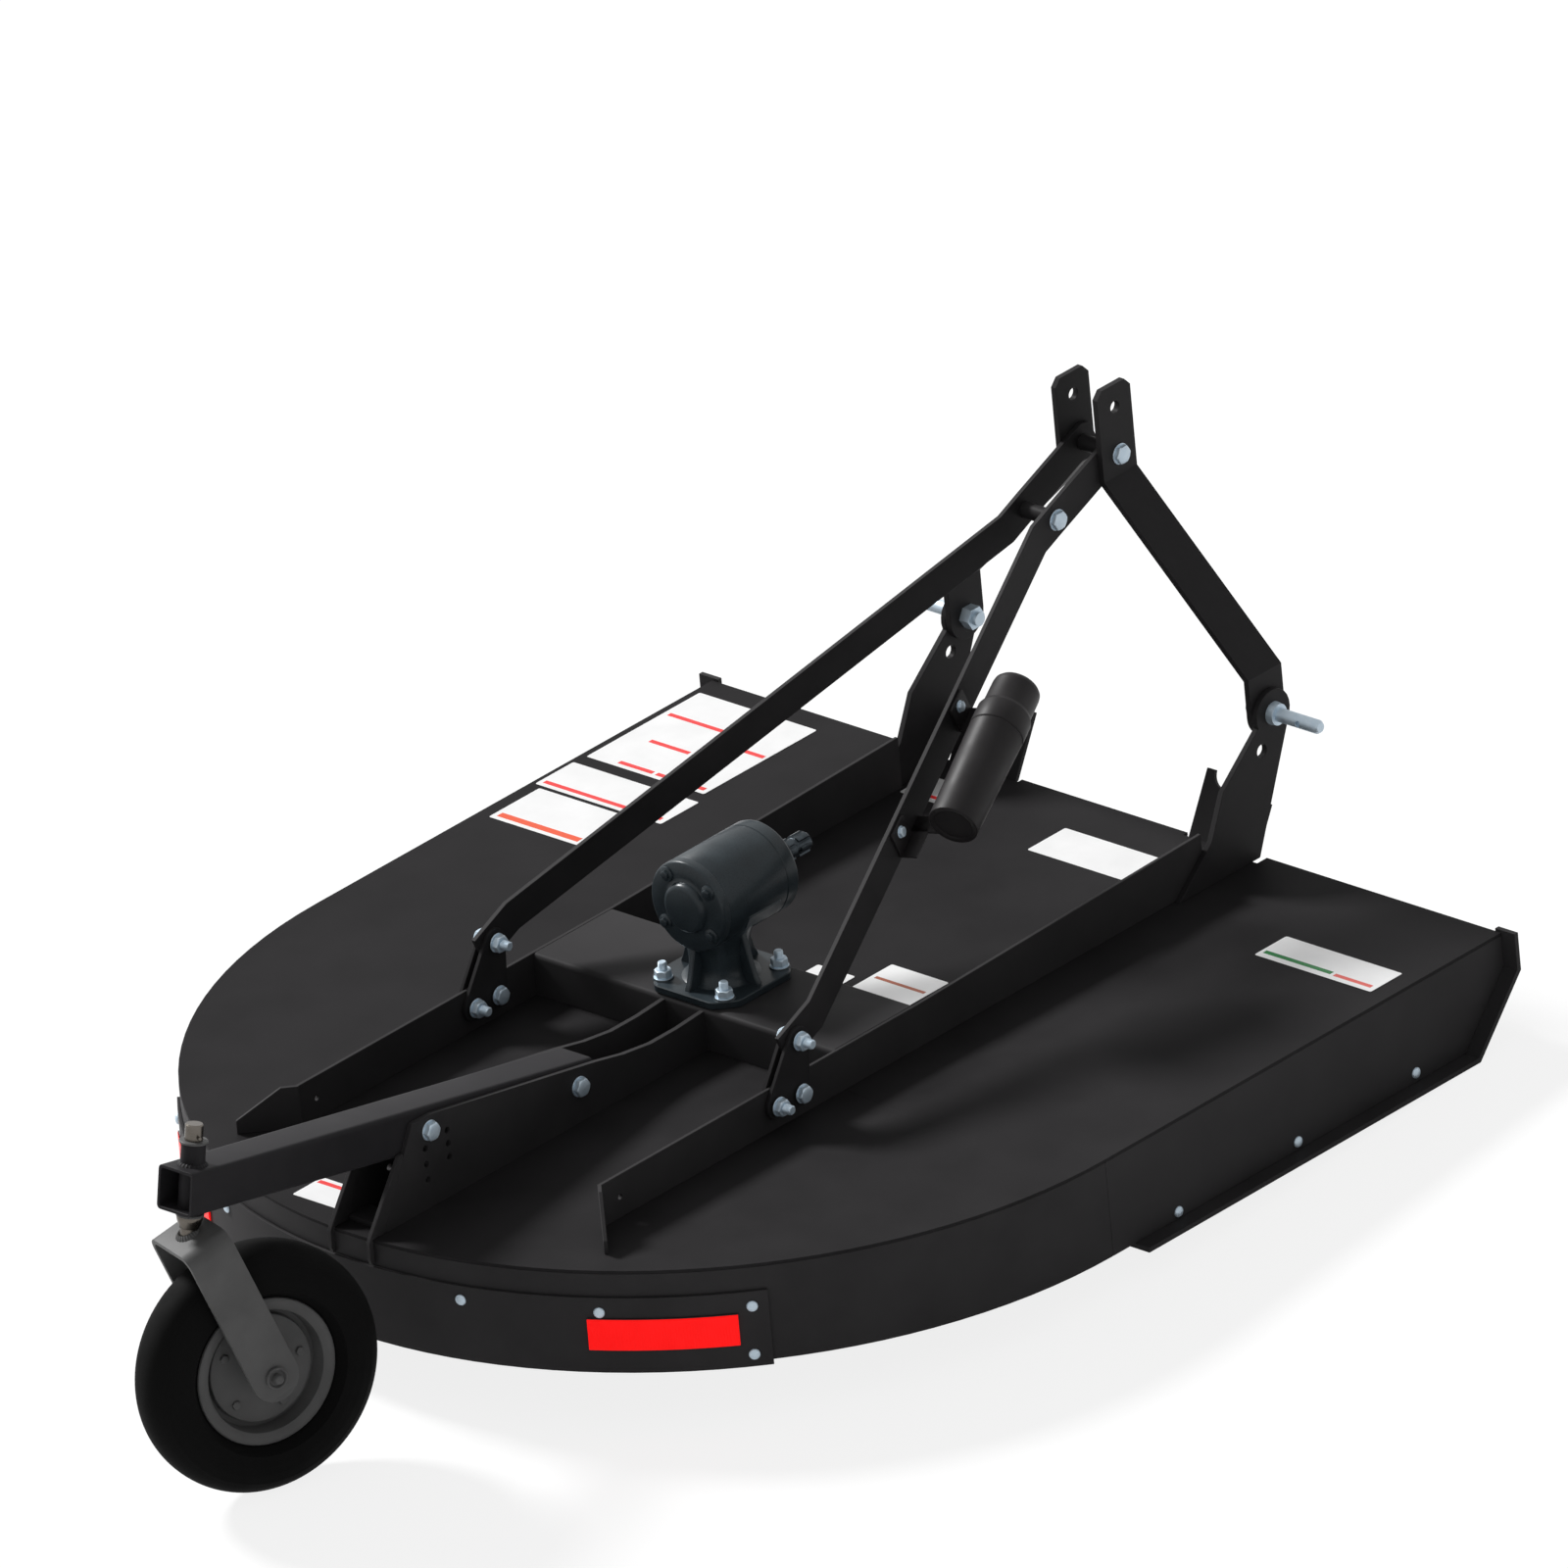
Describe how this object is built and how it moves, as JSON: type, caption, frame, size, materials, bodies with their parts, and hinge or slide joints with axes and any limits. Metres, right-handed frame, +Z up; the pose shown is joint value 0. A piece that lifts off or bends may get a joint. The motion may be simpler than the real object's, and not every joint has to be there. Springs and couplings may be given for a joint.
{
  "type": "three-point-hitch brush mower",
  "caption": "Rear-mounted rotary brush mower with a round-backed deck, hitch mast, gearbox, swinging blades under the deck and a steering tail wheel.",
  "frame": {"origin": "centre of the bounding box's bottom face, on the ground the machine stands on", "axes": "+Y forward to the hitch, +X to the machine's right, +Z up; the machine stands on its skid noses and tail wheel, 3.6 degrees nose down"},
  "size_m": [1.654, 2.2958, 0.8609],
  "materials": {
    "powder_coat_black": "semi-gloss black powder coat",
    "red_reflector": "glossy red reflector",
    "gearbox_paint": "semi-gloss blue-black paint on cast iron",
    "bare_steel": "bare machined steel",
    "blade_steel": "dark rolled steel",
    "zinc_plate": "bright zinc plate",
    "grey_paint": "satin dark grey paint",
    "tyre_rubber": "matte black rubber",
    "black_plastic": "matte black moulded plastic"
  },
  "bodies": {
    "deck": {"deck_plate": "powder_coat_black", "front_lip": "powder_coat_black", "skirt_left": "powder_coat_black", "skirt_right": "powder_coat_black", "skirt_rear": "powder_coat_black", "rear_band": "powder_coat_black", "reflector_left": "red_reflector", "reflector_right": "red_reflector", "skid_left": "powder_coat_black", "skid_right": "powder_coat_black", "rail_left": "powder_coat_black", "rail_right": "powder_coat_black", "crossmember": "powder_coat_black", "gearbox": "gearbox_paint", "upright_left": "powder_coat_black", "upright_stay_left": "powder_coat_black", "upright_right": "powder_coat_black", "upright_stay_right": "powder_coat_black", "hitch_pin_left": "zinc_plate", "hitch_pin_right": "zinc_plate", "mast_bar_left": "powder_coat_black", "mast_bar_right": "powder_coat_black", "mast_bolt_upper": "zinc_plate", "mast_bolt_lower": "zinc_plate", "brace_left": "powder_coat_black", "brace_right": "powder_coat_black", "bracket_left_outer": "powder_coat_black", "bracket_left_inner": "powder_coat_black", "bracket_right_outer": "powder_coat_black", "bracket_right_inner": "powder_coat_black", "tail_plate_left": "powder_coat_black", "tail_plate_right": "powder_coat_black", "tail_cross_plate": "powder_coat_black", "tail_bolt_pivot": "zinc_plate", "tail_bolt_height": "zinc_plate", "tail_arm": "powder_coat_black", "canister_body": "black_plastic", "canister_cap": "black_plastic"},
    "caster": {"caster_fork": "grey_paint", "wheel_axle": "zinc_plate"},
    "tail_wheel": {"wheel_rim": "grey_paint", "tyre": "tyre_rubber"},
    "rotor": {"blade_carrier": "powder_coat_black"},
    "blade_a": {"blade_a": "blade_steel"},
    "blade_b": {"blade_b": "blade_steel"},
    "input_shaft": {"input_shaft": "bare_steel"}
  },
  "joints": [
    {"name": "caster_steer", "type": "hinge", "parent": "deck", "child": "caster", "pos_m": [0, -0.99596, 0.51107], "axis": [0, 0.2577, 0.9662], "continuous": true},
    {"name": "wheel_spin", "type": "hinge", "parent": "caster", "child": "tail_wheel", "pos_m": [0.04275, -0.95823, 0.19673], "axis": [0.9397, -0.3305, 0.0881], "continuous": true},
    {"name": "rotor_spin", "type": "hinge", "parent": "deck", "child": "rotor", "pos_m": [0, 0.15884, 0.2182], "axis": [0, 0.0632, 0.998], "continuous": true},
    {"name": "blade_a_swing", "type": "hinge", "parent": "rotor", "child": "blade_a", "pos_m": [0.23023, 0.23482, 0.09215], "axis": [0, 0.0632, 0.998], "range_deg": [-100, 100]},
    {"name": "blade_b_swing", "type": "hinge", "parent": "rotor", "child": "blade_b", "pos_m": [-0.23023, 0.06757, 0.10274], "axis": [0, 0.0632, 0.998], "range_deg": [-100, 100]},
    {"name": "input_spin", "type": "hinge", "parent": "deck", "child": "input_shaft", "pos_m": [0, 0.28433, 0.42769], "axis": [0, 0.998, -0.0632], "continuous": true}
  ],
  "couplings": [
    {"joint": "input_spin", "follows": "rotor_spin", "ratio": -0.68}
  ]
}
